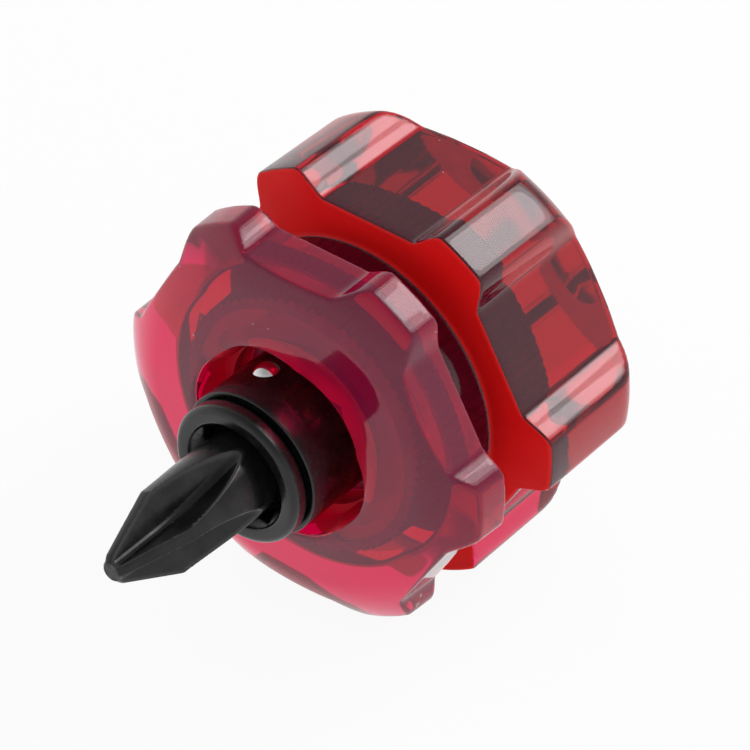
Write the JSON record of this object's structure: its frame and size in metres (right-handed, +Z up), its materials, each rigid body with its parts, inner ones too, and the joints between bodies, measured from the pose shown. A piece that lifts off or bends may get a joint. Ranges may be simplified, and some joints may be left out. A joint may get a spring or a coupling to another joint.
{
  "type": "stubby ratchet screwdriver",
  "caption": "Short ratchet screwdriver with a translucent fluted palm handle, a finger groove, a direction collar and a removable cross-point bit.",
  "frame": {"origin": "centre of the bounding box on the floor, with the tool lying on two lobes of the handle", "axes": "Y runs along the tool axis from the tip (-Y) to the butt (+Y), Z is up, X is across"},
  "size_m": [0.0308, 0.0364, 0.0279],
  "materials": {
    "red_plastic": "clear red, polished",
    "dark_casting": "black oxide",
    "dark_steel": "black oxide",
    "black_steel": "black oxide, edges worn bright",
    "bit_steel": "black phosphate, ground flutes",
    "bright_steel": "polished",
    "spring_steel": "bright",
    "bronze": "sintered",
    "nickel": "nickel plated"
  },
  "bodies": {
    "handle_body": {"handle": "red_plastic", "ratchet_housing": "dark_casting", "housing_cover": "dark_steel", "cover_snap_ring": "spring_steel", "rear_bushing": "bronze", "thrust_washer": "bright_steel", "pawl_pin_a": "bright_steel", "pawl_pin_b": "bright_steel", "pawl_spring_a": "spring_steel", "pawl_spring_b": "spring_steel"},
    "spindle_body": {"spindle": "black_steel", "ratchet_gear": "dark_steel", "spindle_circlip": "spring_steel", "bit_magnet": "nickel", "bit_retaining_ring": "spring_steel"},
    "collar_body": {"selector_collar": "black_steel", "detent_leaf": "spring_steel"},
    "ball_body": {"detent_ball": "bright_steel"},
    "pawl_a_body": {"pawl_a": "dark_steel"},
    "pawl_b_body": {"pawl_b": "dark_steel"},
    "bit_body": {"phillips_bit": "bit_steel"}
  },
  "joints": [
    {"name": "spindle_spin", "type": "hinge", "parent": "handle_body", "child": "spindle_body", "pos_m": [0, 0, 0.01393], "axis": [0, 1, 0], "continuous": true},
    {"name": "selector_turn", "type": "hinge", "parent": "handle_body", "child": "collar_body", "pos_m": [0, 0, 0.01393], "axis": [0, 1, 0], "range_deg": [-60, 60]},
    {"name": "pawl_a_rock", "type": "hinge", "parent": "handle_body", "child": "pawl_a_body", "pos_m": [0.00632, 0.00722, 0.01758], "axis": [0, 1, 0], "range_deg": [-5, 5]},
    {"name": "pawl_b_rock", "type": "hinge", "parent": "handle_body", "child": "pawl_b_body", "pos_m": [-0.00632, 0.00722, 0.01028], "axis": [0, 1, 0], "range_deg": [-5, 5]},
    {"name": "ball_press", "type": "slide", "parent": "collar_body", "child": "ball_body", "axis": [-0.2419, 0, 0.9703], "range_m": [-0.0002, 0], "stiffness_N_per_m": 800, "springref_m": 0.0003, "deforming": ["detent_leaf"]},
    {"name": "bit_pull", "type": "slide", "parent": "spindle_body", "child": "bit_body", "axis": [0, -1, 0], "range_m": [0, 0.014]}
  ],
  "couplings": [
    {"joint": "pawl_a_rock", "follows": "selector_turn", "ratio": -0.083333},
    {"joint": "pawl_b_rock", "follows": "selector_turn", "ratio": -0.083333}
  ]
}
